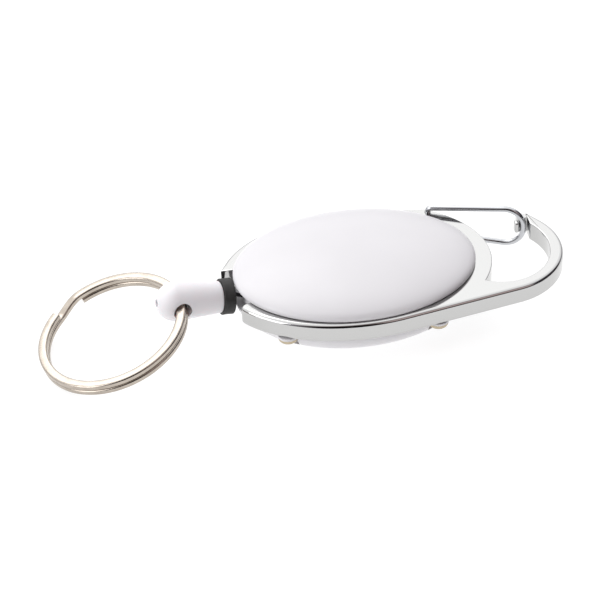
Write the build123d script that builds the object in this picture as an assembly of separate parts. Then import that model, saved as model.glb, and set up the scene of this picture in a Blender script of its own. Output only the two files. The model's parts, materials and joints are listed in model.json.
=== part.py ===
from build123d import *
import math
import os

# Retractable badge reel with a carabiner frame. Millimetres, +Z up.
# The origin is the middle of the flat face that the reel rests on, under the centre of its oval case.
# +X points to the carabiner loop, -X to the cord outlet and the split ring, +Y to the wire gate.

# ---- case: oval front and back covers clamped round the frame ----
case_a = 24.5               # half length of the oval case
case_b = 18.3               # half width of the oval case
back_depth = 6.7            # from the resting face up to the frame's underside
rest_face_share = 0.344     # half length of the flat resting face, as a share of case_a
rest_trim = 0.05            # cut off the bowl's underside, so that the resting face is a true plane
cover_wall = 1.3
lip_gap = 0.12              # shadow gap between the frame and the front cover's lip
lip_height = 0.48           # upright edge of the front cover's lip
lip_chamfer = 0.2
dome_rise = 3.6             # crown of the front cover above its lip
neck_inset = 0.8            # the front cover's neck, inside its lip
spigot_a = 23.0             # part of each cover that stands inside the frame's opening
spigot_b = 16.8
spigot_wall = 1.3
hollow_a = 20.6             # half length of the hollow inside each cover's dome
tongue_wall = 0.5           # the front cover's tongue, which drops inside the back cover's rim
tongue_drop = 1.0
fit_gap = 0.05
far = 60.0                  # past the whole object, for cutting blocks
outlet_hole_r = 0.6

# ---- frame: one chrome casting, a C round the case and a hook at the loop end ----
frame_thick = 4.1
body_a = 27.1               # half length and half width of the outline round the case
body_b = 19.2
loop_r = 14.3               # outline round the loop end
loop_x = 28.3
loop_hole_a = 10.4          # the opening inside the loop
loop_hole_b = 11.5
loop_hole_x = 29.5
bridge = 3.3                # frame between the case and the loop opening
case_hole_gap = 0.2
near_end_y = -7.15          # the C's two ends, either side of the cord outlet
far_end_y = 4.1
near_end_round = 1.2        # rounding of the near end's outer corner, seen from above
edge_round = 0.85
nose_x = 37.9               # the full bar ends here, and the hook's neck begins
nose_half_height = 1.7
nose_neck_y = 9.35
head_x0 = 35.2              # hook's head
head_x1 = 36.1
head_y = (8.3, 9.9)
head_half_height = 1.2

# ---- wire gate ----
wire_r = 0.6
pivot = (18.3, 15.3)
gate_angle = -20.0          # direction of the closed gate, seen from above
gate_length = 19.9
gate_leg_rise = 1.05        # leg centre above the frame's face at the pivot
gate_flare = 1.35           # how much further out the leg is at the bend
gate_bend_r = 3.9
foot_bend_r = 1.0
foot_depth = 1.7

# ---- case screws ----
screw_spots = [(13.9, 15.0), (13.9, -15.0), (-15.8, 13.5), (-15.8, -13.5)]
screw_r = 0.8
screw_length = 3.4
screw_head_r = 2.0
screw_head_height = 1.1
recess_depth = 0.5
recess_reach = 1.15
recess_half = 0.25
ear_thick = 0.5
ear_r = 2.1

# ---- reel mechanism, stacked on the spindle ----
cord_r = 0.4
groove_width = 3.2
flange_thick = 0.8
flange_r = 14.6
drum_r = 10.2
drum_bore_r = 9.2
winding_r = 12.0
anchor_r = 0.9              # pocket in the drum wall for the cord's inner knot
anchor_angle = 250.0
boss_r = 4.6
journal_r = 2.5
arbor_r = 2.0
top_journal_r = 1.6
shank_r = 1.9
thrust_thick = 0.5
thrust_r = 4.3
washer_r = 2.9
washer_thick = 0.4
pin_above_spool = 0.2
pin_screw_r = 0.8
pin_screw_length = 2.6
pin_screw_head_r = 1.7
pin_screw_head_height = 0.9
lead_end = (-24.25, -0.7)   # the taut cord's run ends here, just outside the outlet
slot_width = 0.3
slot_end = 0.9              # the arbor's slot stops this far from its axis
spring_strip = 0.18
spring_pitch = 0.62
spring_turns = 10

# ---- cord end: rubber bumper, swivelling end piece and split ring ----
tip_start = (-25.2, -0.5, 7.85)
tip_yaw = 9.5               # the end piece leans this much towards -Y
tip_pitch = 8.8             # and rises this much away from the case
tip_roll = -2.0             # turn of the end piece about its own axis
bumper_r = 3.65
bumper_length = 2.3
end_length = 13.3
end_r0 = 3.2
end_r1 = 3.92
end_dome = 3.9
end_bore_r = 0.6
cross_hole_r = 1.85
cross_hole_back = 4.6       # from the domed end to the cross hole
knot_r = 1.25
tail_out = 0.55             # cord that shows between the bumper and the case
knot_inset = 3.1            # from the cross hole's centre back to the knot
knot_chamber_r = 1.5
knot_chamber_depth = 4.4    # from the cross hole's centre towards the case
core_hole_r = 0.8
ring_outer_r = 15.45
ring_wire = (1.9, 1.25)     # radial width and height of the ring's flat wire
ring_wire_round = 0.4
ring_coil_gap = 0.05
ring_jog_start = -51.0      # where the wire steps from one coil to the other
ring_jog_span = 26.0
rest_clearance = 0.02

# ---- worked out ----
frame_z0 = back_depth
frame_z1 = frame_z0 + frame_thick
frame_mid = (frame_z0 + frame_z1) / 2
parting = frame_z0 + 1.5    # the covers meet here, and the cord leaves at this height
lip_z = frame_z1 + lip_gap
dome_z = lip_z + lip_height
oval = case_b / case_a
hollow_wall_a = spigot_a - spigot_wall
hollow_wall_b = spigot_b - spigot_wall
groove_z0 = parting - groove_width / 2
groove_z1 = parting + groove_width / 2
spool_z0 = groove_z0 - flange_thick
spool_z1 = groove_z1 + flange_thick
boss_top = spool_z0 - thrust_thick - fit_gap
pin_top = spool_z1 + pin_above_spool
drum_mid_r = (drum_r + drum_bore_r) / 2
anchor_x = drum_mid_r * math.cos(math.radians(anchor_angle))
anchor_y = drum_mid_r * math.sin(math.radians(anchor_angle))
nose_z0 = frame_mid - nose_half_height
nose_z1 = frame_mid + nose_half_height
lead_turn = winding_r + cord_r + fit_gap
lead_angle = math.atan2(lead_end[1], lead_end[0]) + math.acos(lead_turn / math.hypot(*lead_end))
lead_start = Vector(lead_turn * math.cos(lead_angle), lead_turn * math.sin(lead_angle), parting)
lead_run = lead_start - Vector(*lead_end, parting)
lead_plane = Plane(origin=(*lead_end, parting), z_dir=lead_run)


def cyl(r, z0, z1, x=0.0, y=0.0):
    """Upright cylinder between two heights."""
    return Pos(x, y, (z0 + z1) / 2) * Cylinder(r, z1 - z0)


def prism(a, b, z0, z1):
    """Upright elliptical prism between two heights."""
    return Pos(0, 0, z0) * extrude(Ellipse(a, b), amount=z1 - z0)


def block(x0, x1, y0, y1, z0, z1):
    """Box given by its two corners."""
    centre = Pos((x0 + x1) / 2, (y0 + y1) / 2, (z0 + z1) / 2)
    return centre * Box(x1 - x0, y1 - y0, z1 - z0)


def turned_oval(*edges):
    """Turn a closed half profile, drawn in X and Z, about Z and squash the result to the case's oval."""
    face = make_face(Plane.XZ * Wire(list(edges)))
    return scale(revolve(face, Axis.Z), by=(1, oval, 1))


def crown(radius, rise, base, bottom, chamfer):
    """Solid oval dome: an elliptical crown above an upright edge."""
    return turned_oval(
        Line((0, bottom), (radius - chamfer, bottom)),
        Line((radius - chamfer, bottom), (radius, bottom + chamfer)),
        Line((radius, bottom + chamfer), (radius, base)),
        EllipticalCenterArc((0, base), radius, rise, 0, arc_size=90),
        Line((0, base + rise), (0, bottom)),
    )


def bowl(radius, flat, top, floor):
    """Solid oval bowl, flat underneath, with elliptical sides up to its rim."""
    return turned_oval(
        Line((0, floor), (flat, floor)),
        EllipticalCenterArc((flat, top), radius - flat, top - floor, -90, arc_size=90),
        Line((radius, top), (0, top)),
        Line((0, top), (0, floor)),
    )


def cross_recess(x, y, z0, z1):
    """Cross-shaped driver recess."""
    arm = block(x - recess_reach, x + recess_reach, y - recess_half, y + recess_half, z0, z1)
    return arm + block(x - recess_half, x + recess_half, y - recess_reach, y + recess_reach, z0, z1)


def outlet_hole():
    """Cord outlet, half in each cover, in line with the cord's run from the winding."""
    return lead_plane * cyl(outlet_hole_r, -1, 6)


def front_cover():
    body = crown(case_a, dome_rise, dome_z, lip_z, lip_chamfer)
    body += prism(case_a - neck_inset, case_b - neck_inset, frame_z1, lip_z)
    body += prism(spigot_a, spigot_b, parting, frame_z1)
    body += prism(hollow_wall_a + tongue_wall, hollow_wall_b + tongue_wall, parting - tongue_drop, parting)
    body -= prism(hollow_wall_a, hollow_wall_b, parting - tongue_drop, dome_z)
    body -= crown(hollow_a, dome_rise - cover_wall, dome_z, dome_z - 0.5, 0.1)
    return body - outlet_hole()


def back_cover():
    flat = case_a * rest_face_share
    body = bowl(case_a, flat, frame_z0, -rest_trim)
    body -= block(-far, far, -far, far, -1, 0)
    for x, y in screw_spots:
        body += cyl(ear_r, frame_z0 - ear_thick, frame_z0, x, y)
    body += prism(spigot_a, spigot_b, frame_z0, parting)
    body -= bowl(hollow_a, flat - cover_wall, frame_z0, cover_wall)
    body -= prism(hollow_wall_a, hollow_wall_b, frame_z0, parting)
    rim = tongue_wall + fit_gap
    body -= prism(hollow_wall_a + rim, hollow_wall_b + rim, parting - tongue_drop - fit_gap, parting)
    body += cyl(boss_r, cover_wall, boss_top)
    body -= cyl(shank_r, cover_wall, boss_top)
    for x, y in screw_spots:
        body -= cyl(screw_r + 0.1, frame_z0 - 2 * ear_thick, frame_z0, x, y)
    for x, y in screw_spots:
        body -= cyl(screw_head_r + 0.1, frame_z0 - 3, frame_z0 - ear_thick, x, y)
    return body - outlet_hole()


def hull_angle():
    """Direction of the outward normal of the straight side between the oval outline and the loop's arc."""
    low, high = math.radians(45), math.radians(90)
    for _ in range(60):
        mid = (low + high) / 2
        oval_reach = math.hypot(body_a * math.cos(mid), body_b * math.sin(mid))
        loop_reach = loop_x * math.cos(mid) + loop_r
        if loop_reach > oval_reach:
            low = mid
        else:
            high = mid
    return (low + high) / 2


def frame_outline():
    """Frame's outer shape: oval round the case, straight tangent sides and an arc round the loop."""
    t = hull_angle()
    reach = math.hypot(body_a * math.cos(t), body_b * math.sin(t))
    side = (body_a**2 * math.cos(t) / reach, body_b**2 * math.sin(t) / reach)
    tip = (loop_x + loop_r * math.cos(t), loop_r * math.sin(t))
    corner = math.degrees(math.atan2(side[1] / body_b, side[0] / body_a))
    edges = [
        EllipticalCenterArc((0, 0), body_a, body_b, corner, arc_size=360 - 2 * corner),
        Line((side[0], -side[1]), (tip[0], -tip[1])),
        CenterArc((loop_x, 0), loop_r, -math.degrees(t), 2 * math.degrees(t)),
        Line(tip, side),
    ]
    return make_face(Wire(edges))


def carabiner_frame():
    outline = extrude(frame_outline(), amount=frame_thick)
    outline -= block(-far, -case_a + 9, near_end_y, far_end_y, -1, frame_thick + 1)
    outline = fillet(outline.edges().filter_by(Axis.Z).sort_by(Axis.X)[1], near_end_round)
    rims = outline.faces().sort_by(Axis.Z)
    outline = fillet(rims[0].edges() + rims[-1].edges(), edge_round)
    body = Pos(0, 0, frame_z0) * outline
    loop_hole = Pos(loop_hole_x, 0, 0) * prism(loop_hole_a, loop_hole_b, frame_z0, frame_z1)
    loop_hole -= prism(case_a + bridge, case_b + bridge, frame_z0, frame_z1)
    hook = body & block(head_x1 - 0.1, nose_x, nose_neck_y, far, nose_z0, nose_z1)
    hook += block(head_x0, head_x1, *head_y, frame_mid - head_half_height, frame_mid + head_half_height)
    body -= loop_hole
    gate_gap = block(pivot[0] - 5, nose_x, 6, far, frame_z0 - 1, frame_z1 + 1)
    gate_gap -= prism(case_a + bridge, case_b + bridge, frame_z0 - 1, frame_z1 + 1)
    body -= gate_gap
    body += hook
    body -= prism(spigot_a + case_hole_gap, spigot_b + case_hole_gap, frame_z0, frame_z1)
    body -= cyl(wire_r + fit_gap, frame_z0 - 1, frame_z0 + foot_depth + 0.1, *pivot)
    body -= cyl(wire_r + fit_gap, frame_z1 - foot_depth - 0.1, frame_z1 + 1, *pivot)
    for x, y in screw_spots:
        body -= cyl(screw_r, frame_z0, frame_z0 + screw_length - ear_thick + 0.2, x, y)
    return body


def gate_wire():
    """One bent wire: foot, leg over the frame, round bend at the hook, leg under the frame, foot."""
    c = math.cos(math.radians(gate_angle))
    s = math.sin(math.radians(gate_angle))

    def at(reach, z):
        return (pivot[0] + reach * c, pivot[1] + reach * s, z)

    leg = frame_thick / 2 + gate_leg_rise
    bend = leg + gate_flare
    foot = frame_thick / 2 - foot_depth
    path = FilletPolyline(
        at(0, frame_mid + foot),
        at(0, frame_mid + leg),
        at(gate_length, frame_mid + bend),
        at(gate_length, frame_mid - bend),
        at(0, frame_mid - leg),
        at(0, frame_mid - foot),
        radius=[foot_bend_r, gate_bend_r, gate_bend_r, foot_bend_r],
    )
    return sweep(Plane(origin=path @ 0, z_dir=path % 0) * Circle(wire_r), path=path)


def case_screws():
    """Four pan-head screws, up through the back cover's ears into the frame."""
    under = frame_z0 - ear_thick
    low = under - screw_head_height
    screws = []
    for x, y in screw_spots:
        head = cyl(screw_head_r, low, under, x, y)
        head = fillet(head.edges().sort_by(Axis.Z)[0], 0.6)
        head -= cross_recess(x, y, low, low + recess_depth)
        screws.append(head + cyl(screw_r, under, under + screw_length, x, y))
    return Compound(children=screws)


def spindle():
    """Fixed pin: shank in the back cover, shoulder, slotted arbor for the spring and top journal."""
    pin = cyl(shank_r, cover_wall + 0.2, boss_top)
    pin += cyl(journal_r, boss_top, groove_z0)
    pin += cyl(arbor_r, groove_z0, groove_z1)
    pin += cyl(top_journal_r, groove_z1, pin_top)
    pin -= block(-arbor_r - 1, -slot_end, -slot_width / 2, slot_width / 2, groove_z0, groove_z1)
    return pin - cyl(pin_screw_r, pin_top - pin_screw_length - 0.4, pin_top)


def thrust_washer():
    disc = cyl(thrust_r, boss_top, boss_top + thrust_thick)
    return disc - cyl(journal_r + fit_gap, boss_top, boss_top + thrust_thick)


def spool():
    """Drum with two flanges. The cord winds in its groove and the spring sits in its bore."""
    body = cyl(flange_r, spool_z0, groove_z0)
    body += cyl(drum_r, groove_z0, groove_z1)
    body += cyl(flange_r, groove_z1, spool_z1)
    body -= cyl(drum_bore_r, groove_z0, spool_z1)
    body -= cyl(journal_r + fit_gap, spool_z0, groove_z0)
    return body - cyl(anchor_r, parting - 1, parting + 1, anchor_x, anchor_y)


def cord_anchor_knot():
    """Knot that holds the cord's inner end in the drum wall's pocket."""
    shell = cyl(drum_r - fit_gap, parting - 1, parting + 1)
    shell -= cyl(drum_bore_r + fit_gap, parting - 1, parting + 1)
    return (Pos(anchor_x, anchor_y, parting) * Sphere(anchor_r - 2 * fit_gap)) & shell


def spring_cover():
    """Disc pressed into the spool's upper flange over the spring."""
    disc = cyl(drum_bore_r - 0.02, groove_z1, spool_z1)
    return disc - cyl(top_journal_r + fit_gap, groove_z1, spool_z1)


def mainspring():
    """Flat steel strip wound in a spiral of half turns, from the slotted arbor to the drum's bore."""
    z0 = groove_z0 + 0.15
    height = groove_width - 0.3
    radius = arbor_r + 0.35
    tang = radius - slot_end - fit_gap
    strip = Pos(-radius, 0) * Rectangle(tang, spring_strip, align=(Align.MIN, Align.CENTER))
    centre = 0.0
    for half in range(2 * spring_turns):
        arc = Circle(radius + spring_strip / 2) - Circle(radius - spring_strip / 2)
        side = 1 if half % 2 == 0 else -1
        keep = Pos(0, side * 20, 0) * Rectangle(60, 40)
        strip += (Pos(centre, 0, 0) * arc) & keep
        radius += spring_pitch / 2
        centre += side * spring_pitch / 2
    return Pos(0, 0, z0) * extrude(strip, amount=height)


def spindle_washer():
    disc = cyl(washer_r, pin_top, pin_top + washer_thick)
    return disc - cyl(pin_screw_r + fit_gap, pin_top, pin_top + washer_thick)


def spindle_screw():
    under = pin_top + washer_thick
    head = cyl(pin_screw_head_r, under, under + pin_screw_head_height)
    head = fillet(head.edges().sort_by(Axis.Z)[-1], 0.4)
    top = under + pin_screw_head_height
    head -= cross_recess(0, 0, top - recess_depth, top)
    return head + cyl(pin_screw_r, pin_top - pin_screw_length, under)


def cord_winding():
    """Outer shape of the turns of cord in the spool's groove."""
    ring = cyl(winding_r, groove_z0 + fit_gap, groove_z1 - fit_gap)
    return ring - cyl(drum_r + fit_gap, groove_z0, groove_z1)


def cord_lead():
    """Taut cord, straight from its tangent to the winding and out through the outlet."""
    print("cord lead: length", round(lead_run.length, 2), "straight, no bends")
    return lead_plane * cyl(cord_r, 0, lead_run.length)


# frame of the cord end: z runs along its axis away from the case, x along its cross hole
yaw = math.radians(tip_yaw)
pitch = math.radians(tip_pitch)
tip_dir = Vector(-math.cos(pitch) * math.cos(yaw), -math.cos(pitch) * math.sin(yaw), math.sin(pitch))
cross_dir = Vector(math.sin(yaw), -math.cos(yaw), 0).rotate(Axis((0, 0, 0), tip_dir), tip_roll)
tip_plane = Plane(origin=tip_start, x_dir=cross_dir, z_dir=tip_dir)
end_start = bumper_length + fit_gap
end_plane = tip_plane.offset(end_start)
cross_s = end_length - cross_hole_back
cross_centre = Vector(*tip_start) + tip_dir * (end_start + cross_s)
knot_s = cross_s - knot_inset


def bumper_collar():
    body = cyl(bumper_r, 0, bumper_length)
    body = chamfer(body.edges().filter_by(GeomType.CIRCLE), 0.15)
    return tip_plane * (body - cyl(end_bore_r, 0, bumper_length))


def cord_end_fitting():
    """White end piece: tapered, domed at the far end, with a cross hole for the split ring."""
    straight = end_length - end_dome
    profile = Wire([
        Line((0, 0), (end_r0, 0)),
        Line((end_r0, 0), (end_r1, straight)),
        EllipticalCenterArc((0, straight), end_r1, end_dome, 0, arc_size=90),
        Line((0, end_length), (0, 0)),
    ])
    body = revolve(make_face(Plane.XZ * profile), Axis.Z)
    body -= cyl(end_bore_r, -1, cross_s)
    body -= cyl(knot_chamber_r, cross_s - knot_chamber_depth, cross_s)
    body -= cyl(core_hole_r, cross_s, end_length + 1)
    body -= Pos(0, 0, cross_s) * Rot(0, 90, 0) * Cylinder(cross_hole_r, 12)
    return end_plane * body


def cord_end_knot():
    """Knot that keeps the cord in the end piece."""
    return end_plane * (Pos(0, 0, knot_s) * Sphere(knot_r))


def cord_tail():
    """Cord from just outside the outlet, through the bumper, to its knot."""
    tail_end = end_start + knot_s
    return tip_plane * (cyl(cord_r, -tail_out, tail_end) - Pos(0, 0, tail_end) * Sphere(knot_r))


# split ring: hangs from the cross hole with its far side on the resting plane
ring_mean_r = ring_outer_r - ring_wire[0] / 2
ring_half_height = ring_wire[1] + ring_coil_gap / 2
ring_sag = end_r1**2 / (4 * ring_mean_r)
level_dir = cross_dir.cross(Vector(0, 0, 1)).normalized()


def ring_place(angle):
    """Plane of the ring when it hangs this many degrees below level on the cross hole's axis."""
    away = level_dir.rotate(Axis((0, 0, 0), cross_dir), angle)
    centre = cross_centre + away * (ring_mean_r - ring_sag)
    return Plane(origin=centre, x_dir=away, z_dir=away.cross(cross_dir))


def ring_lowest(angle):
    place = ring_place(angle)
    slope = math.sqrt(1 - place.z_dir.Z**2)
    return place.origin.Z - ring_outer_r * slope - ring_half_height * place.z_dir.Z


def droop():
    """Angle below level at which the ring's far side just meets the resting plane."""
    low, high = 0.0, 60.0
    for _ in range(60):
        mid = (low + high) / 2
        if ring_lowest(mid) > rest_clearance:
            low = mid
        else:
            high = mid
    return low


ring_droop = droop()
ring_plane = ring_place(ring_droop)


def wire_section(angle, height):
    """Section of the ring's flat wire at an angle round the ring."""
    t = math.radians(angle)
    out = Vector(math.cos(t), math.sin(t), 0)
    along = Vector(-math.sin(t), math.cos(t), 0)
    spot = Plane(origin=out * ring_mean_r + Vector(0, 0, height), x_dir=out, z_dir=along)
    return spot * RectangleRounded(*ring_wire, ring_wire_round)


def split_ring():
    """Flat wire in two stacked coils, joined by a short step, with both ends cut square."""
    level = ring_wire[1] / 2 + ring_coil_gap / 2
    arc = 360 - ring_jog_span
    upper = revolve(wire_section(ring_jog_start, level), Axis.Z, arc)
    lower = revolve(wire_section(ring_jog_start, -level), Axis.Z, arc)
    steps = 6
    sections = []
    for k in range(steps + 1):
        share = k / steps
        height = level * math.cos(math.pi * share)
        sections.append(wire_section(ring_jog_start + arc + ring_jog_span * share, height))
    return ring_plane * (upper + lower + loft(sections))


parts = {
    "front_cover": front_cover,
    "back_cover": back_cover,
    "carabiner_frame": carabiner_frame,
    "gate_wire": gate_wire,
    "case_screws": case_screws,
    "spindle": spindle,
    "thrust_washer": thrust_washer,
    "spool": spool,
    "spring_cover": spring_cover,
    "mainspring": mainspring,
    "spindle_washer": spindle_washer,
    "spindle_screw": spindle_screw,
    "cord_winding": cord_winding,
    "cord_anchor_knot": cord_anchor_knot,
    "cord_lead": cord_lead,
    "bumper_collar": bumper_collar,
    "cord_tail": cord_tail,
    "cord_end_knot": cord_end_knot,
    "cord_end_fitting": cord_end_fitting,
    "split_ring": split_ring,
}

os.makedirs("parts", exist_ok=True)
for name, make in parts.items():
    export_step(make(), "parts/" + name + ".step")

print("cross hole centre", [round(v, 3) for v in cross_centre])
print("cross hole axis", [round(v, 4) for v in cross_dir])
print("end piece axis", [round(v, 4) for v in tip_dir])
print("ring centre", [round(v, 3) for v in ring_plane.origin], "droop", round(ring_droop, 2))
print("ring normal", [round(v, 4) for v in ring_plane.z_dir], "lowest", round(ring_lowest(ring_droop), 3))
print("gate pivot", pivot, "frame", frame_z0, frame_z1, "top", dome_z + dome_rise)
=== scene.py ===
import json
import math

import bmesh
import bpy
from mathutils import Matrix, Vector


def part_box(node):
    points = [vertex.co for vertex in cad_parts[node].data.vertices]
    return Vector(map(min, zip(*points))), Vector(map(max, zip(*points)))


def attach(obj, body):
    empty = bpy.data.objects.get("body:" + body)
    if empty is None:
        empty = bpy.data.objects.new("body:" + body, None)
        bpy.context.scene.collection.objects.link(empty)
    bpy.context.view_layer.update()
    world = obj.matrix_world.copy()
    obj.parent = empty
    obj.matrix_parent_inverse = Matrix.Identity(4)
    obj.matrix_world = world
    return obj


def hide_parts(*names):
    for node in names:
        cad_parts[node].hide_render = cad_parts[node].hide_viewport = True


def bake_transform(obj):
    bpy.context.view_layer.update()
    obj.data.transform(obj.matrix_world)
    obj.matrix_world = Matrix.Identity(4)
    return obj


# Looks of the retractable badge reel. Shapes are worked out in millimetres, in the part's frame:
# origin under the case on the resting plane, +X to the carabiner loop, +Y to the gate, +Z up.
MM = 0.001

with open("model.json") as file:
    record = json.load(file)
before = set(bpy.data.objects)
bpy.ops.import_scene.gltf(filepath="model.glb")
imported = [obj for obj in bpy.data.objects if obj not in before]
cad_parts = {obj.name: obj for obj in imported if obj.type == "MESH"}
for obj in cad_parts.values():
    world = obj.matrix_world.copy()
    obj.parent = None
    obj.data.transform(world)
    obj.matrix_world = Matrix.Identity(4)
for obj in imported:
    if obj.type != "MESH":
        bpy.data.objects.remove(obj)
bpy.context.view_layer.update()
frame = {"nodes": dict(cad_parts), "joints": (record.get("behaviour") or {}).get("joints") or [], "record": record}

# ---- driving sizes, in millimetres ----
case_a = 24.5               # half length and half width of the oval case
case_b = 18.3
oval = case_b / case_a
cover_wall = 1.3
lip_gap = 0.12              # shadow gap between the frame and the front cover's lip
lip_height = 0.48
dome_rise = 3.6
neck_inset = 0.8
spigot_a = 23.0
spigot_b = 16.8
spigot_wall = 1.3
hollow_a = 20.6             # half length of the hollow inside each cover's dome
hollow_step = 0.5           # from the hollow's rim down to its upright wall
lip_edge = 0.2              # rounding under the front cover's lip
rest_face_share = 0.344
rest_trim = 0.05
outlet_hole_r = 0.6
tongue_wall = 0.5
tongue_drop = 1.0
fit_gap = 0.05
parting_rise = 1.5          # from the frame's underside up to the line where the covers meet
boss_r = 4.6                # round boss in the back cover that holds the spindle
boss_bore_r = 1.9
boss_top = 4.7
boss_root = 0.3             # how far the boss is sunk into the wall that it stands on
body_a = 27.1               # frame's outline round the case
body_b = 19.2
loop_r = 14.3               # outline round the loop
loop_x = 28.3
loop_hole_a = 10.4          # opening inside the loop
loop_hole_b = 11.5
loop_hole_x = 29.5
bridge = 3.3
case_hole_gap = 0.2
near_end_y = -7.15          # the C's two ends
far_end_y = 4.1
near_end_round = 1.2
edge_round = 0.85
inner_round = 0.25          # rounding of the inner edges, as a share of edge_round
round_growth = 0.3          # how fast the rounding may grow along an edge, in shares per millimetre
nose_x = 37.9
nose_half_height = 1.7
nose_neck_y = 9.35
head_x0 = 35.2
head_x1 = 36.1
head_y = (8.3, 9.9)
head_half_height = 1.2
neck_reach_y = 11.4         # the neck's outer side follows the loop no further out than this
neck_edge = 0.28
head_edge = 0.35
wire_r = 0.6
gate_angle = math.radians(-20.0)
gate_length = 19.9
gate_leg_rise = 1.05
gate_flare = 1.35
gate_bend_r = 3.9
foot_bend_r = 1.0
foot_depth = 1.7
cord_r = 0.4
bumper_r = 3.65
bumper_length = 2.3
bumper_edge = 0.14
bumper_waist = 0.06
bumper_bore_edge = 0.15
end_length = 13.3
end_r0 = 3.2
end_r1 = 3.92
end_dome = 3.9
end_bore_r = 0.6
end_edge = 0.25
core_edge = 0.12
hole_edge = 0.14
cross_hole_r = 1.85
cross_hole_back = 4.6
knot_inset = 3.1
knot_half = 0.9
knot_chamber_r = 1.5
knot_chamber_depth = 4.4
core_hole_r = 0.8
ring_outer_r = 15.45
ring_wire_width = 1.9
ring_wire_height = 1.25
ring_wire_round = 0.45
ring_coil_gap = 0.05
ring_jog_start = -51.0
ring_jog_span = 26.0
screw_spots = [(13.9, 15.0), (13.9, -15.0), (-15.8, 13.5), (-15.8, -13.5)]
screw_head_r = 2.0
screw_head_height = 1.1
screw_r = 0.8
screw_length = 3.4
ear_thick = 0.5
ear_r = 2.1
ear_sink = 0.3              # how far each ear is sunk into the cover's wall
pocket_depth = 3.2          # clears the wall from under each ear, for the screw's head
screw_gap = 0.1
head_round = 0.75
recess_reach = 1.15
recess_half = 0.22
recess_depth = 0.5
thread_turns = 9
thread_depth = 0.12
lead_end = (-24.25, -0.7)   # the taut cord's straight run ends here, just outside the outlet
winding_r = 12.0

# ---- read from the frame ----
joints = {j["name"]: j for j in frame["joints"]}


def millimetres(point):
    return Vector(point) / MM


frame_low, frame_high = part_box("carabiner_frame")
frame_z0 = frame_low.z / MM
frame_z1 = frame_high.z / MM
frame_mid = (frame_z0 + frame_z1) / 2
frame_thick = frame_z1 - frame_z0
lip_z = frame_z1 + lip_gap
dome_z = lip_z + lip_height
pivot = millimetres(joints["gate_hinge"]["pos_m"])
tip_start = millimetres(joints["end_swivel"]["pos_m"])
tip_axis = Vector(joints["end_swivel"]["axis"]).normalized()
cross_centre = millimetres(joints["ring_swing"]["pos_m"])
cross_axis = -Vector(joints["ring_swing"]["axis"]).normalized()
parting = frame_z0 + parting_rise
ring_mount = [m for m in frame["record"]["mounts"] if m["name"] == "split_ring"][0]
end_start = bumper_length + fit_gap
cross_s = end_length - cross_hole_back
lead_turn = winding_r + cord_r + fit_gap
lead_angle = math.atan2(lead_end[1], lead_end[0]) + math.acos(lead_turn / math.hypot(*lead_end))
lead_stop = Vector((*lead_end, parting))
lead_start = Vector((lead_turn * math.cos(lead_angle), lead_turn * math.sin(lead_angle), parting))
lead_dir = (lead_start - lead_stop).normalized()


# ---- mesh helpers ----
def new_object(name, bm):
    """Turn a bmesh in millimetres into an object in metres, shaded smooth."""
    bmesh.ops.recalc_face_normals(bm, faces=bm.faces)
    bmesh.ops.scale(bm, vec=(MM, MM, MM), verts=bm.verts)
    mesh = bpy.data.meshes.new(name)
    bm.to_mesh(mesh)
    bm.free()
    obj = bpy.data.objects.new(name, mesh)
    bpy.context.scene.collection.objects.link(obj)
    mesh.shade_smooth()
    return obj


def applied(obj):
    """Replace an object's mesh by what its modifiers make of it."""
    graph = bpy.context.evaluated_depsgraph_get()
    mesh = bpy.data.meshes.new_from_object(obj.evaluated_get(graph), depsgraph=graph)
    old = obj.data
    obj.modifiers.clear()
    obj.data = mesh
    bpy.data.meshes.remove(old)
    mesh.name = obj.name
    return obj


def combine(obj, tool, operation="DIFFERENCE"):
    """Cut a tool out of an object, or join it on, and delete the tool."""
    mod = obj.modifiers.new("combine", "BOOLEAN")
    mod.operation = operation
    mod.solver = "EXACT"
    mod.object = tool
    applied(obj)
    bpy.data.objects.remove(tool)
    return obj


def bevelled(obj, width, segments=3, angle=35.0):
    """Round an object's sharp edges."""
    mod = obj.modifiers.new("bevel", "BEVEL")
    mod.width = width * MM
    mod.segments = segments
    mod.limit_method = "ANGLE"
    mod.angle_limit = math.radians(angle)
    mod.harden_normals = True
    return applied(obj)


def flat_normals(obj):
    """Weight normals by face area, so that broad flat faces stay flat beside rounded edges."""
    mod = obj.modifiers.new("weights", "WEIGHTED_NORMAL")
    mod.keep_sharp = True
    return applied(obj)


def sharp_above(obj, degrees=35.0):
    obj.data.set_sharp_from_angle(angle=math.radians(degrees))
    return obj


def skin(name, rings):
    """Closed tube through rings of points, with its two ends capped."""
    bm = bmesh.new()
    rows = [[bm.verts.new(p) for p in ring] for ring in rings]
    count = len(rings[0])
    for low, high in zip(rows, rows[1:]):
        for i in range(count):
            j = (i + 1) % count
            bm.faces.new((low[i], low[j], high[j], high[i]))
    bm.faces.new(rows[0])
    bm.faces.new(list(reversed(rows[-1])))
    return new_object(name, bm)


def lathe(name, profile, place=Matrix.Identity(4), squash=1.0, segments=128):
    """Turn a closed half profile of (radius, height) points about Z, squash it along Y, place it."""
    bm = bmesh.new()
    rows = []
    for r, z in profile:
        if r < 1e-6:
            rows.append([bm.verts.new(place @ Vector((0, 0, z)))] * segments)
            continue
        row = []
        for i in range(segments):
            t = 2 * math.pi * i / segments
            spot = Vector((r * math.cos(t), squash * r * math.sin(t), z))
            row.append(bm.verts.new(place @ spot))
        rows.append(row)
    for low, high in zip(rows, rows[1:] + rows[:1]):
        for i in range(segments):
            j = (i + 1) % segments
            corners = dict.fromkeys((low[i], low[j], high[j], high[i]))
            if len(corners) > 2:
                bm.faces.new(list(corners))
    return new_object(name, bm)


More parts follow.
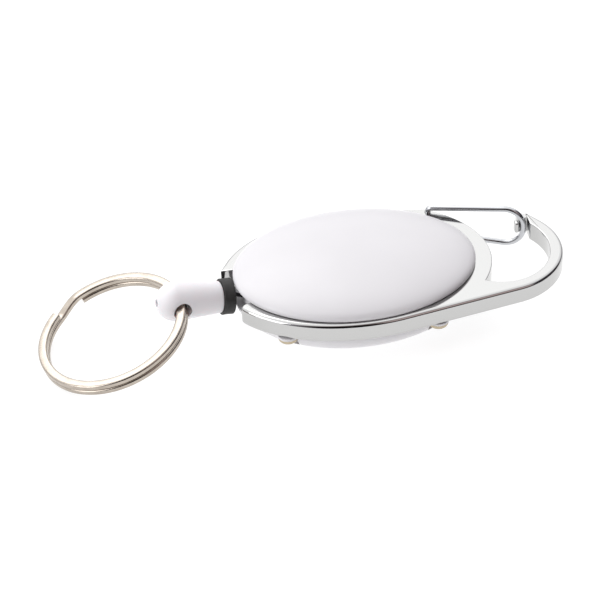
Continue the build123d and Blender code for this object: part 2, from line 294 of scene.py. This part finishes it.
def rod(name, radius, start, end, segments=64):
    """Straight round bar between two points."""
    axis = end - start
    place = Matrix.Translation(start) @ axis.to_track_quat("Z", "Y").to_matrix().to_4x4()
    length = axis.length
    profile = [(0, 0), (radius, 0), (radius, length), (0, length)]
    return lathe(name, profile, place, segments=segments)


def upright(name, radius, x, y, z0, z1, segments=64):
    """Upright round bar between two heights."""
    return rod(name, radius, Vector((x, y, z0)), Vector((x, y, z1)), segments)


def slab(name, outline, z0, z1):
    """Upright prism over a closed outline of (x, y) points."""
    bm = bmesh.new()
    low = [bm.verts.new((x, y, z0)) for x, y in outline]
    high = [bm.verts.new((x, y, z1)) for x, y in outline]
    bm.faces.new(low)
    bm.faces.new(list(reversed(high)))
    for i in range(len(outline)):
        j = (i + 1) % len(outline)
        bm.faces.new((low[i], low[j], high[j], high[i]))
    return new_object(name, bm)


def brick(name, x0, x1, y0, y1, z0, z1):
    return slab(name, [(x0, y0), (x1, y0), (x1, y1), (x0, y1)], z0, z1)


def arc(cx, cy, rx, ry, start, stop, steps):
    """Points along an elliptical arc, both ends included. Angles are in degrees."""
    points = []
    for k in range(steps + 1):
        t = math.radians(start + (stop - start) * k / steps)
        points.append((cx + rx * math.cos(t), cy + ry * math.sin(t)))
    return points


def crossing(inside, low, high):
    """Value between low and high at which the test stops being true."""
    for _ in range(50):
        mid = (low + high) / 2
        if inside(mid):
            low = mid
        else:
            high = mid
    return low


def sweep(name, spine, outline, up=None):
    """Carry a section outline of (across, up) points along a spine of points."""
    rings = []
    for k, here in enumerate(spine):
        before = spine[max(k - 1, 0)]
        after = spine[min(k + 1, len(spine) - 1)]
        along = (after - before).normalized()
        top = Vector(up(k) if up else (0, 0, 1))
        side = along.cross(top).normalized()
        top = side.cross(along)
        rings.append([here + side * u + top * v for u, v in outline])
    return skin(name, rings)


def circle(radius, count):
    turns = [2 * math.pi * i / count for i in range(count)]
    return [(radius * math.cos(t), radius * math.sin(t)) for t in turns]


def rounded_section(width, height, corner, steps=5):
    """Rectangle with round corners, as (across, up) points."""
    points = []
    for sx, sy, start in ((1, 1, 0), (-1, 1, 90), (-1, -1, 180), (1, -1, 270)):
        cx = sx * (width / 2 - corner)
        cy = sy * (height / 2 - corner)
        points += arc(cx, cy, corner, corner, start, start + 90, steps)
    return points


def filleted(corners, radii, steps=14):
    """Straight runs joined by tangent arcs, as points along the path."""
    points = [corners[0]]
    for before, here, after, radius in zip(corners, corners[1:], corners[2:], radii):
        a = (before - here).normalized()
        b = (after - here).normalized()
        half = a.angle(b) / 2
        centre = here + (a + b).normalized() * radius / math.sin(half)
        reach = radius / math.tan(half)
        start = here + a * reach - centre
        turn = math.pi - 2 * half
        axis = start.cross(here + b * reach - centre).normalized()
        for k in range(steps + 1):
            points.append(centre + Matrix.Rotation(turn * k / steps, 3, axis) @ start)
    points.append(corners[-1])
    return points


def divided(points, spacing):
    """The same path with long runs divided evenly."""
    out = [points[0]]
    for a, b in zip(points, points[1:]):
        count = max(1, math.ceil((b - a).length / spacing))
        out += [a.lerp(b, k / count) for k in range(1, count + 1)]
    return out


# ---- materials ----
def material(name, colour, roughness, metallic=0.0, **sockets):
    """Principled material with constants on its own sockets. The calls below add its detail."""
    mat = bpy.data.materials.new(name)
    mat.use_nodes = True
    shader = mat.node_tree.nodes["Principled BSDF"]
    shader.inputs["Base Color"].default_value = (*colour, 1)
    shader.inputs["Roughness"].default_value = roughness
    shader.inputs["Metallic"].default_value = metallic
    for socket, value in sockets.items():
        shader.inputs[socket.replace("_", " ")].default_value = value
    return mat


def noise(mat, scale, detail=3.0, stretch=(1, 1, 1)):
    """Noise in object space, so that its grain has a real size. Scale is in features per metre."""
    nodes = mat.node_tree.nodes
    links = mat.node_tree.links
    place = nodes.new("ShaderNodeTexCoord")
    mapping = nodes.new("ShaderNodeMapping")
    mapping.inputs["Scale"].default_value = stretch
    texture = nodes.new("ShaderNodeTexNoise")
    texture.inputs["Scale"].default_value = scale
    texture.inputs["Detail"].default_value = detail
    links.new(place.outputs["Object"], mapping.inputs["Vector"])
    links.new(mapping.outputs["Vector"], texture.inputs["Vector"])
    return texture


def vary_colour(mat, low, high, texture):
    """Base colour wanders between two colours."""
    nodes = mat.node_tree.nodes
    links = mat.node_tree.links
    ramp = nodes.new("ShaderNodeValToRGB")
    ramp.color_ramp.elements[0].position = 0.35
    ramp.color_ramp.elements[1].position = 0.65
    ramp.color_ramp.elements[0].color = (*low, 1)
    ramp.color_ramp.elements[1].color = (*high, 1)
    links.new(texture.outputs["Fac"], ramp.inputs["Fac"])
    links.new(ramp.outputs["Color"], nodes["Principled BSDF"].inputs["Base Color"])


def vary_roughness(mat, low, high, texture):
    nodes = mat.node_tree.nodes
    links = mat.node_tree.links
    span = nodes.new("ShaderNodeMapRange")
    span.inputs["To Min"].default_value = low
    span.inputs["To Max"].default_value = high
    links.new(texture.outputs["Fac"], span.inputs["Value"])
    links.new(span.outputs["Result"], nodes["Principled BSDF"].inputs["Roughness"])


def add_bump(mat, height_mm, texture, strength=1.0):
    nodes = mat.node_tree.nodes
    links = mat.node_tree.links
    bump = nodes.new("ShaderNodeBump")
    bump.inputs["Strength"].default_value = strength
    bump.inputs["Distance"].default_value = height_mm * MM
    links.new(texture.outputs["Fac"], bump.inputs["Height"])
    links.new(bump.outputs["Normal"], nodes["Principled BSDF"].inputs["Normal"])


def case_plastic():
    mat = material("white_gloss_moulding", (0.71, 0.7, 0.722), 0.3, Specular_IOR_Level=0.45)
    vary_colour(mat, (0.702, 0.692, 0.714), (0.718, 0.708, 0.73), noise(mat, 90))
    vary_roughness(mat, 0.26, 0.34, noise(mat, 300, 2))
    add_bump(mat, 0.01, noise(mat, 350, 1), 0.2)
    return mat


def chrome_plate():
    mat = material("chrome_plated_casting", (0.545, 0.545, 0.54), 0.07, 1.0)
    vary_roughness(mat, 0.05, 0.12, noise(mat, 900, 4))
    add_bump(mat, 0.004, noise(mat, 1400, 2), 0.35)
    return mat


def chrome_wire():
    mat = material("chrome_plated_wire", (0.56, 0.57, 0.59), 0.1, 1.0)
    vary_roughness(mat, 0.07, 0.16, noise(mat, 1500, 4, (0.2, 0.2, 1)))
    add_bump(mat, 0.003, noise(mat, 3000, 2), 0.3)
    return mat


def ring_nickel():
    mat = material("nickel_plated_wire", (0.48, 0.425, 0.37), 0.2, 1.0)
    vary_colour(mat, (0.44, 0.39, 0.338), (0.52, 0.465, 0.405), noise(mat, 500, 4))
    vary_roughness(mat, 0.15, 0.26, noise(mat, 1800, 5))
    add_bump(mat, 0.006, noise(mat, 2500, 3), 0.4)
    return mat


def end_plastic():
    mat = material("white_satin_moulding", (0.84, 0.82, 0.848), 0.42, Subsurface_Weight=0.15,
                   Subsurface_Radius=(0.0012, 0.0006, 0.0006), Subsurface_Scale=1.0)
    vary_colour(mat, (0.83, 0.81, 0.838), (0.852, 0.832, 0.86), noise(mat, 250))
    vary_roughness(mat, 0.36, 0.5, noise(mat, 1500, 4))
    add_bump(mat, 0.01, noise(mat, 3000, 3), 0.3)
    return mat


def rubber():
    mat = material("black_rubber", (0.018, 0.0175, 0.0175), 0.6)
    vary_colour(mat, (0.014, 0.0135, 0.0135), (0.026, 0.025, 0.025), noise(mat, 900, 5))
    vary_roughness(mat, 0.5, 0.72, noise(mat, 2500, 5))
    add_bump(mat, 0.02, noise(mat, 3500, 4), 0.4)
    return mat


def braided_cord():
    mat = material("black_braided_nylon", (0.015, 0.015, 0.018), 0.7, Sheen_Weight=0.3)
    weave = noise(mat, 6000, 2, (1, 0.5, 0.5))
    vary_colour(mat, (0.01, 0.01, 0.012), (0.045, 0.045, 0.05), weave)
    vary_roughness(mat, 0.6, 0.85, weave)
    add_bump(mat, 0.05, weave, 0.6)
    return mat


def turned_steel(name, colour, roughness):
    mat = material(name, colour, roughness, 1.0)
    vary_roughness(mat, roughness * 0.7, roughness * 1.4, noise(mat, 2500, 4, (1, 1, 12)))
    vary_colour(mat, tuple(c * 0.85 for c in colour), colour, noise(mat, 1200, 4))
    add_bump(mat, 0.006, noise(mat, 2500, 3, (1, 1, 12)), 0.4)
    return mat


def acetal():
    mat = material("natural_acetal", (0.8, 0.79, 0.75), 0.4, Subsurface_Weight=0.1,
                   Subsurface_Radius=(0.001, 0.001, 0.001), Subsurface_Scale=1.0)
    vary_colour(mat, (0.78, 0.77, 0.73), (0.83, 0.82, 0.78), noise(mat, 200))
    vary_roughness(mat, 0.32, 0.46, noise(mat, 1500, 4))
    add_bump(mat, 0.01, noise(mat, 2500, 3), 0.3)
    return mat


WHITE_CASE = case_plastic()
CHROME = chrome_plate()
CHROME_WIRE = chrome_wire()
NICKEL = ring_nickel()
WHITE_END = end_plastic()
RUBBER = rubber()
CORD = braided_cord()
SCREW_STEEL = turned_steel("zinc_plated_screw", (0.55, 0.47, 0.34), 0.28)
SPRING_STEEL = turned_steel("blued_spring_steel", (0.34, 0.36, 0.42), 0.3)
BRASS = turned_steel("stamped_brass", (0.78, 0.6, 0.3), 0.3)
ACETAL = acetal()


def finish_piece(obj, mat, body, slot_name, *nodes):
    """Give a piece its material and body, and hide the CAD nodes that it stands for. Its slot name is not used."""
    obj.data.materials.clear()
    obj.data.materials.append(mat)
    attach(obj, body)
    if nodes:
        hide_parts(*nodes)
    return obj


# ---- case covers ----
def front_cover():
    hollow_wall = spigot_a - spigot_wall
    tongue = hollow_wall + tongue_wall
    outer = [(case_a - lip_edge, lip_z)]
    outer += arc(case_a - lip_edge, lip_z + lip_edge, lip_edge, lip_edge, -90, 0, 4)[1:]
    outer += arc(0, dome_z, case_a, dome_rise, 0, 90, 48)
    outer[-1] = (0, dome_z + dome_rise)
    inner = arc(0, dome_z, hollow_a, dome_rise - cover_wall, 90, 0, 32)
    inner[0] = (0, dome_z + dome_rise - cover_wall)
    profile = outer + inner
    profile += [(hollow_a, dome_z - hollow_step), (hollow_wall, dome_z - hollow_step)]
    profile += [(hollow_wall, parting)]
    profile += [(hollow_wall, parting - tongue_drop), (tongue, parting - tongue_drop)]
    profile += [(tongue, parting), (spigot_a, parting), (spigot_a, frame_z1)]
    profile += [(case_a - neck_inset, frame_z1), (case_a - neck_inset, lip_z)]
    shell = lathe("front_cover_shell", profile, squash=oval, segments=192)
    combine(shell, outlet_hole())
    sharp_above(shell)
    return finish_piece(shell, WHITE_CASE, "case", "case_plastic", "front_cover")


def outlet_hole():
    """Cord outlet, half in each cover, in line with the cord's run from the winding."""
    return rod("outlet", outlet_hole_r, lead_stop - lead_dir, lead_stop + lead_dir * 6)


def back_cover():
    flat = case_a * rest_face_share
    hollow_wall = spigot_a - spigot_wall
    rim = hollow_wall + tongue_wall + fit_gap
    trimmed = math.degrees(math.asin(frame_z0 / (frame_z0 + rest_trim)))
    outer = [(0, 0)] + arc(flat, frame_z0, case_a - flat, frame_z0 + rest_trim, -trimmed, 0, 36)
    outer[1] = (outer[1][0], 0)
    profile = outer + [(spigot_a, frame_z0), (spigot_a, parting), (rim, parting)]
    profile += [(rim, parting - tongue_drop - fit_gap)]
    profile += [(hollow_wall, parting - tongue_drop - fit_gap), (hollow_wall, frame_z0)]
    bowl_reach = hollow_a - flat + cover_wall
    profile += arc(flat - cover_wall, frame_z0, bowl_reach, frame_z0 - cover_wall, 0, -90, 24)
    profile += [(0, cover_wall)]
    shell = lathe("back_cover_shell", profile, squash=oval, segments=192)
    for x, y in screw_spots:
        ear = upright("ear", ear_r, x, y, frame_z0 - ear_thick - ear_sink, frame_z0 - 0.01)
        combine(shell, ear, "UNION")
    for x, y in screw_spots:
        low = frame_z0 - pocket_depth
        combine(shell, upright("pocket", ear_r + 0.02, x, y, low, frame_z0 - ear_thick))
        low = frame_z0 - 2 * ear_thick
        combine(shell, upright("hole", screw_r + screw_gap, x, y, low, frame_z0 + 0.5, 32))
    combine(shell, outlet_hole())
    boss = [(boss_bore_r, cover_wall + 0.2), (boss_r, cover_wall - boss_root)]
    boss += [(boss_r, boss_top), (boss_bore_r, boss_top)]
    combine(shell, lathe("boss", boss, segments=64), "UNION")
    sharp_above(shell)
    return finish_piece(shell, WHITE_CASE, "case", "case_plastic", "back_cover")


# ---- frame ----
def hull_angle():
    """Outward direction of the straight side that is tangent to the oval and to the loop's arc."""

    def loop_is_further(t):
        oval_reach = math.hypot(body_a * math.cos(t), body_b * math.sin(t))
        return loop_x * math.cos(t) + loop_r > oval_reach

    return crossing(loop_is_further, math.radians(45), math.radians(90))


def frame_outline():
    """The frame from above, as one closed line, and how much each of its points is rounded."""
    t = hull_angle()
    reach = math.hypot(body_a * math.cos(t), body_b * math.sin(t))
    corner = math.degrees(math.atan2(body_b * math.sin(t), body_a * math.cos(t)))
    hole_a = spigot_a + case_hole_gap
    hole_b = spigot_b + case_hole_gap
    far_outer = 180 - math.degrees(math.asin(far_end_y / body_b))
    far_inner = 180 - math.degrees(math.asin(far_end_y / hole_b))
    near_inner = -180 - math.degrees(math.asin(near_end_y / hole_b))
    nose_outer = math.degrees(math.acos((nose_x - loop_x) / loop_r))
    nose_inner = math.degrees(math.acos((nose_x - loop_hole_x) / loop_hole_a))
    bridge_a = case_a + bridge
    bridge_b = case_b + bridge

    def corner_centre(angle):
        x, y = body_a * math.cos(math.radians(angle)), body_b * math.sin(math.radians(angle))
        out = Vector((x / body_a**2, y / body_b**2)).normalized()
        return Vector((x, y)) - out * near_end_round, math.degrees(math.atan2(out.y, out.x)) % 360

    def above_corner(angle):
        return corner_centre(angle)[0].y > near_end_y - near_end_round

    def outside_bridge(angle):
        x, y = arc(loop_hole_x, 0, loop_hole_a, loop_hole_b, angle, angle, 1)[0]
        return (x / bridge_a) ** 2 + (y / bridge_b) ** 2 > 1

    def inside_hull(angle):
        x, y = arc(0, 0, bridge_a, bridge_b, angle, angle, 1)[0]
        return x * math.cos(t) + y * math.sin(t) < reach

    hole_stop = crossing(outside_bridge, -90.0, -180.0)
    hx, hy = arc(loop_hole_x, 0, loop_hole_a, loop_hole_b, hole_stop, hole_stop, 1)[0]
    bridge_start = math.degrees(math.atan2(hy / bridge_b, hx / bridge_a))
    bridge_stop = crossing(inside_hull, 10.0, 80.0)

    near_outer = crossing(above_corner, 185.0, 240.0)
    round_centre, round_stop = corner_centre(near_outer)
    outer = arc(*round_centre, near_end_round, near_end_round, 90, round_stop, 12)[:-1]
    outer += arc(0, 0, body_a, body_b, near_outer, 360 - corner, 90)
    outer += arc(loop_x, 0, loop_r, loop_r, -math.degrees(t), nose_outer, 80)
    loop = arc(loop_hole_x, 0, loop_hole_a, loop_hole_b, nose_inner, hole_stop, 80)
    loop += arc(0, 0, bridge_a, bridge_b, bridge_start, bridge_stop, 40)[1:]
    far_side = arc(0, 0, body_a, body_b, corner, far_outer, 70)
    hole = arc(0, 0, hole_a, hole_b, far_inner, near_inner, 160)
    rounding = [1.0] * len(outer) + [inner_round] * len(loop)
    rounding += [1.0] * len(far_side) + [inner_round] * len(hole)
    return outer + loop + far_side + hole, rounding


def eased(points, shares):
    """Hold the rounding down at sharp corners, and let it grow gradually away from them."""
    count = len(points)
    out = list(shares)
    for i in range(count):
        before = points[i] - points[i - 1]
        after = points[(i + 1) % count] - points[i]
        if abs(before.angle_signed(after)) > 0.5:
            out[i] = inner_round
    for step in (1, -1):
        for k in range(2 * count):
            i = k * step % count
            j = (i - step) % count
            out[i] = min(out[i], out[j] + round_growth * (points[i] - points[j]).length)
    return out


def inward_normals(points):
    """Inward direction at each point of a counterclockwise outline, longer at corners."""
    count = len(points)
    normals = []
    for i in range(count):
        before = (points[i] - points[i - 1]).normalized()
        after = (points[(i + 1) % count] - points[i]).normalized()
        along = (before + after).normalized()
        normals.append(Vector((-along.y, along.x)) / max(along.dot(after), 0.5))
    return normals


def frame_casting():
    outline, shares = frame_outline()
    points = [Vector(p) for p in outline]
    rounds = [edge_round * share for share in eased(points, shares)]
    inward = inward_normals(points)
    steps = 8
    turns = [math.pi / 2 * k / steps for k in range(steps + 1)]
    rings = []
    for half, face_z, order in ((-1, frame_z0, reversed(turns)), (1, frame_z1, turns)):
        for turn in order:
            ring = []
            for point, normal, radius in zip(points, inward, rounds):
                spot = point + normal * radius * (1 - math.cos(turn))
                ring.append(Vector((*spot, face_z - half * radius * (1 - math.sin(turn)))))
            rings.append(ring)
    casting = skin("frame_casting", rings)
    for side in (-1, 1):
        start = Vector((pivot.x, pivot.y, frame_mid + side * (frame_thick / 2 - foot_depth - 0.1)))
        end = Vector((pivot.x, pivot.y, frame_mid + side * (frame_thick / 2 + 1)))
        combine(casting, rod("foot_hole", wire_r + fit_gap, start, end, 32))
    for x, y in screw_spots:
        top = frame_z0 + screw_length - ear_thick + 0.2
        combine(casting, upright("screw_hole", screw_r, x, y, frame_z0 - 1, top, 32))
    combine(casting, hook(), "UNION")
    sharp_above(casting, 40)
    flat_normals(casting)
    return finish_piece(casting, CHROME, "case", "frame_chrome", "carabiner_frame")


def hook():
    """Neck and head that the gate's bend closes behind."""
    root = nose_x + 1.0
    near = head_x1 - 0.1
    outline = []
    for x in (root, nose_x, nose_x - 1.0, near):
        outline.append((x, min(math.sqrt(loop_r**2 - (x - loop_x) ** 2), neck_reach_y)))
    outline += [(near, nose_neck_y), (root, nose_neck_y)]
    neck = slab("hook", outline, frame_mid - nose_half_height, frame_mid + nose_half_height)
    head_z = (frame_mid - head_half_height, frame_mid + head_half_height)
    head = brick("head", head_x0, head_x1, *head_y, *head_z)
    bevelled(neck, neck_edge, 3)
    return combine(neck, bevelled(head, head_edge, 5), "UNION")


# ---- gate ----
def gate_wire():
    along = Vector((math.cos(gate_angle), math.sin(gate_angle), 0))
    up = Vector((0, 0, 1))
    middle = Vector((pivot.x, pivot.y, frame_mid))
    leg = frame_thick / 2 + gate_leg_rise
    bend = leg + gate_flare
    foot = frame_thick / 2 - foot_depth
    corners = [
        middle + up * foot,
        middle + up * leg,
        middle + along * gate_length + up * bend,
        middle + along * gate_length - up * bend,
        middle - up * leg,
        middle - up * foot,
    ]
    spine = divided(filleted(corners, [foot_bend_r, gate_bend_r, gate_bend_r, foot_bend_r]), 1.0)
    across = along.cross(up)
    wire = sweep("gate_bent_wire", spine, circle(wire_r, 32), up=lambda k: across)
    sharp_above(wire, 60)
    return finish_piece(wire, CHROME_WIRE, "gate", "gate_chrome", "gate_wire")


# ---- screws ----
def case_screws():
    under = frame_z0 - ear_thick
    low = under - screw_head_height
    profile = [(0, low), (0.8, low + 0.02)]
    profile += arc(screw_head_r - head_round, low + head_round, head_round, head_round, -85, 0, 8)
    profile += [(screw_head_r, under), (screw_r, under)]
    pitch = (screw_length - 0.4) / thread_turns
    root_r = screw_r - thread_depth
    for k in range(thread_turns):
        z = under + 0.2 + k * pitch
        profile += [(root_r, z + 0.1 * pitch), (root_r, z + 0.4 * pitch)]
        profile += [(screw_r, z + 0.7 * pitch)]
    profile += [(screw_r - 0.25, under + screw_length), (0, under + screw_length)]
    screws = []
    for k, (x, y) in enumerate(screw_spots):
        place = Matrix.Translation((x, y, 0))
        screw = lathe("case_screw_%d" % (k + 1), profile, place, segments=48)
        for dx, dy in ((recess_reach, recess_half), (recess_half, recess_reach)):
            sides = (x - dx, x + dx, y - dy, y + dy)
            combine(screw, brick("slot", *sides, low - recess_depth, low + recess_depth))
        sharp_above(screw, 40)
        finish_piece(screw, SCREW_STEEL, "case", "screw_steel")
        screws.append(screw)
    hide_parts("case_screws")
    return screws


# ---- cord end ----
tip_frame = Matrix.Translation(tip_start) @ Matrix(
    (cross_axis, tip_axis.cross(cross_axis), tip_axis)).transposed().to_4x4()
end_frame = tip_frame @ Matrix.Translation((0, 0, end_start))


def bumper():
    edge = bumper_edge
    profile = arc(bumper_r - edge, edge, edge, edge, -90, 0, 5)
    profile += [(bumper_r - bumper_waist, bumper_length / 2)]
    profile += arc(bumper_r - edge, bumper_length - edge, edge, edge, 0, 90, 5)
    mouth_r = end_bore_r + bumper_bore_edge
    profile += [(mouth_r, bumper_length), (end_bore_r, bumper_length - bumper_bore_edge)]
    profile += [(end_bore_r, bumper_bore_edge), (mouth_r, 0)]
    disc = lathe("bumper_disc", profile, tip_frame, segments=96)
    sharp_above(disc, 40)
    return finish_piece(disc, RUBBER, "cord_tip", "bumper_rubber", "bumper_collar")


def end_piece():
    straight = end_length - end_dome
    profile = [(end_bore_r, 0)]
    profile += arc(end_r0 - end_edge, end_edge, end_edge, end_edge, -90, 0, 5)
    profile += [(end_r0 + (end_r1 - end_r0) * k / 8, straight * k / 8) for k in range(1, 8)]
    dome = arc(0, straight, end_r1, end_dome, 0, 90, 28)
    profile += [p for p in dome if p[0] > core_hole_r + core_edge]
    top = straight + end_dome * math.sqrt(1 - (core_hole_r / end_r1) ** 2)
    profile += [(core_hole_r, top - core_edge), (core_hole_r, cross_s), (knot_chamber_r, cross_s)]
    chamber_end = cross_s - knot_chamber_depth
    profile += [(knot_chamber_r, chamber_end), (end_bore_r, chamber_end)]
    body = lathe("end_piece_moulding", profile, end_frame, segments=128)
    across = Matrix.Translation((0, 0, cross_s)) @ Matrix.Rotation(math.pi / 2, 4, "Y")
    reach = 8                   # past both sides of the end piece
    drill = [(0, -reach), (cross_hole_r, -reach), (cross_hole_r, reach), (0, reach)]
    combine(body, lathe("hole", drill, end_frame @ across, segments=64))
    bevelled(body, hole_edge, 3, 40)
    return finish_piece(body, WHITE_END, "end_fitting", "end_plastic", "cord_end_fitting")


def cord_pull():
    """Cord from the outlet through the bumper. It stretches between the case and the cord's end."""
    inner = tip_start + tip_axis * (end_start + cross_s - knot_inset - knot_half)
    outside = lead_stop - lead_dir * 0.3
    corners = [lead_stop + lead_dir * 0.1, outside, tip_start - tip_axis * 0.1, inner]
    spine = divided(filleted(corners, [0.3, 0.6]), 0.05)
    thread = sweep("cord_thread", spine, circle(cord_r - 0.01, 20))
    thread.data.materials.append(CORD)
    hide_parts("cord_tail")
    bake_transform(thread)
    return thread


# ---- split ring ----
def split_ring():
    mean_r = ring_outer_r - ring_wire_width / 2
    level = ring_wire_height / 2 + ring_coil_gap / 2
    centre = millimetres(ring_mount["pos_m"])
    away = (centre - cross_centre).normalized()
    side = Vector(ring_mount["axis"]).cross(away).normalized()
    normal = away.cross(side)
    arc_span = 360 - ring_jog_span
    total = 2 * arc_span + ring_jog_span
    steps = 420
    spine = []
    outs = []
    for k in range(steps + 1):
        turned = total * k / steps
        angle = math.radians(ring_jog_start + turned)
        share = min(max((turned - arc_span) / ring_jog_span, 0), 1)
        height = level * math.cos(math.pi * share)
        out = away * math.cos(angle) + side * math.sin(angle)
        spine.append(centre + out * mean_r + normal * height)
        outs.append(out)
    wire = rounded_section(ring_wire_width, ring_wire_height, ring_wire_round, 6)
    section = [(v, u) for u, v in wire]
    coil = sweep("split_ring_coils", spine, section, up=lambda k: outs[k])
    sharp_above(coil, 60)
    return finish_piece(coil, NICKEL, "ring", "ring_nickel", "split_ring")


# ---- inner parts that keep their CAD shape ----
def dress_inner_parts():
    finishes = {
        "spindle": SCREW_STEEL,
        "thrust_washer": BRASS,
        "spool": ACETAL,
        "spring_cover": ACETAL,
        "mainspring": SPRING_STEEL,
        "spindle_washer": BRASS,
        "spindle_screw": SCREW_STEEL,
        "cord_winding": CORD,
        "cord_anchor_knot": CORD,
        "cord_lead": CORD,
        "cord_end_knot": CORD,
    }
    for node, mat in finishes.items():
        mesh = frame["nodes"][node].data
        mesh.materials.clear()
        mesh.materials.append(mat)


# ---- studio ----
def studio_floor():
    bm = bmesh.new()
    half = 1500
    drop = 0.02                 # just under the resting face, so that the two don't touch
    corners = [(-half, -half), (half, -half), (half, half), (-half, half)]
    bm.faces.new([bm.verts.new((x, y, -drop)) for x, y in corners])
    floor = new_object("studio_floor", bm)
    mat = material("pale_floor", (0.3, 0.3, 0.3), 0.9, Specular_IOR_Level=0.1)
    shader = mat.node_tree.nodes["Principled BSDF"]
    shader.inputs["Emission Color"].default_value = (1, 1, 1, 1)
    shader.inputs["Emission Strength"].default_value = 0.81
    floor.data.materials.append(mat)


def area_light(name, place, target, size, power):
    data = bpy.data.lights.new(name, "AREA")
    data.shape = "RECTANGLE"
    data.size = size[0]
    data.size_y = size[1]
    data.energy = power
    light = bpy.data.objects.new(name, data)
    light.location = place
    light.rotation_euler = (Vector(target) - Vector(place)).to_track_quat("-Z", "Y").to_euler()
    bpy.context.scene.collection.objects.link(light)


def world_facing(nodes, links, direction, low, high, stops):
    """Colour ramp over how closely a world direction faces the given one."""
    place = nodes.new("ShaderNodeTexCoord")
    dot = nodes.new("ShaderNodeVectorMath")
    dot.operation = "DOT_PRODUCT"
    dot.inputs[1].default_value = Vector(direction).normalized()
    span = nodes.new("ShaderNodeMapRange")
    span.inputs["From Min"].default_value = low
    span.inputs["From Max"].default_value = high
    ramp = nodes.new("ShaderNodeValToRGB")
    ramp.color_ramp.interpolation = "EASE"
    while len(ramp.color_ramp.elements) < len(stops):
        ramp.color_ramp.elements.new(0.5)
    for element, (position, colour) in zip(ramp.color_ramp.elements, stops):
        element.position = position
        element.color = (*colour, 1)
    links.new(place.outputs["Generated"], dot.inputs[0])
    links.new(dot.outputs["Value"], span.inputs["Value"])
    links.new(span.outputs["Result"], ramp.inputs["Fac"])
    return ramp


def studio_light():
    """White sweep overhead and behind, grey in front, with patches for the chrome to reflect.

    A patch multiplies the light round a direction: a dark flag is below 1, a bright card above 1.
    """
    area_light("key", (-0.18, 0.4, 0.58), (0, 0, 0), (0.5, 0.4), 1.08)
    area_light("fill", (-0.42, -0.2, 0.18), (-0.03, 0, 0), (0.3, 0.3), 0.65)
    world = bpy.data.worlds.new("studio")
    bpy.context.scene.world = world
    world.use_nodes = True
    nodes = world.node_tree.nodes
    links = world.node_tree.links
    sweep_stops = [
        (0.0, (0.09, 0.087, 0.095)),
        (0.42, (0.26, 0.25, 0.272)),
        (0.7, (0.85, 0.85, 0.86)),
        (1.0, (1.0, 1.0, 1.0)),
    ]
    light = world_facing(nodes, links, (-0.28, 0.6, 0.74), -0.5, 1.0, sweep_stops).outputs["Color"]
    patches = [
        ((0.15, -0.85, 0.5), 0.66, 0.84, (0.42, 0.37, 0.35)),
        ((-0.1, -0.85, 0.5), 0.9, 0.96, (0.08, 0.075, 0.075)),
        ((0.95, -0.1, 0.3), 0.82, 0.93, (0.16, 0.15, 0.16)),
        ((0, 0, -1), -0.26, -0.1, (0.3, 0.3, 0.32)),
        ((0.45, -0.72, 0.53), 0.9, 0.97, (4.6, 4.4, 4.2)),
        ((0.106, 0.789, 0.606), 0.92, 0.98, (1.15, 1.15, 1.15)),
    ]
    for direction, low, high, colour in patches:
        stops = [(0.0, (1, 1, 1)), (1.0, colour)]
        patch = world_facing(nodes, links, direction, low, high, stops)
        mix = nodes.new("ShaderNodeMix")
        mix.data_type = "RGBA"
        mix.blend_type = "MULTIPLY"
        mix.inputs["Factor"].default_value = 1.0
        links.new(light, mix.inputs[6])
        links.new(patch.outputs["Color"], mix.inputs[7])
        light = mix.outputs[2]
    links.new(light, nodes["Background"].inputs["Color"])
    nodes["Background"].inputs["Strength"].default_value = 1.46


def camera():
    """Long lens, 37 degrees above the horizon, a little to the left of straight out from -Y."""
    yaw = math.radians(7.66)
    tilt = math.radians(37.27)
    roll = math.radians(2.87)
    distance = 410.6
    aside = 11.05
    above = 3.54
    ahead = Vector((math.sin(yaw), math.cos(yaw), 0))
    level = Vector((math.cos(yaw), -math.sin(yaw), 0))
    zenith = Vector((0, 0, 1))
    forward = ahead * math.cos(tilt) - zenith * math.sin(tilt)
    rise = ahead * math.sin(tilt) + zenith * math.cos(tilt)
    right = level * math.cos(roll) - rise * math.sin(roll)
    up = level * math.sin(roll) + rise * math.cos(roll)
    eye = Vector((0, 0, frame_z0)) - right * aside - up * above - forward * distance
    data = bpy.data.cameras.new("camera")
    data.sensor_width = 36
    data.lens = 122.2
    data.clip_start = 0.01
    cam = bpy.data.objects.new("camera", data)
    turned = Matrix((right, up, -forward)).transposed().to_4x4()
    cam.matrix_world = Matrix.Translation(eye * MM) @ turned
    bpy.context.scene.collection.objects.link(cam)
    bpy.context.scene.camera = cam


camera()
studio_floor()
studio_light()
bpy.context.scene.view_settings.view_transform = "Standard"
front_cover()
back_cover()
frame_casting()
gate_wire()
case_screws()
bumper()
end_piece()
cord_pull()
split_ring()
dress_inner_parts()
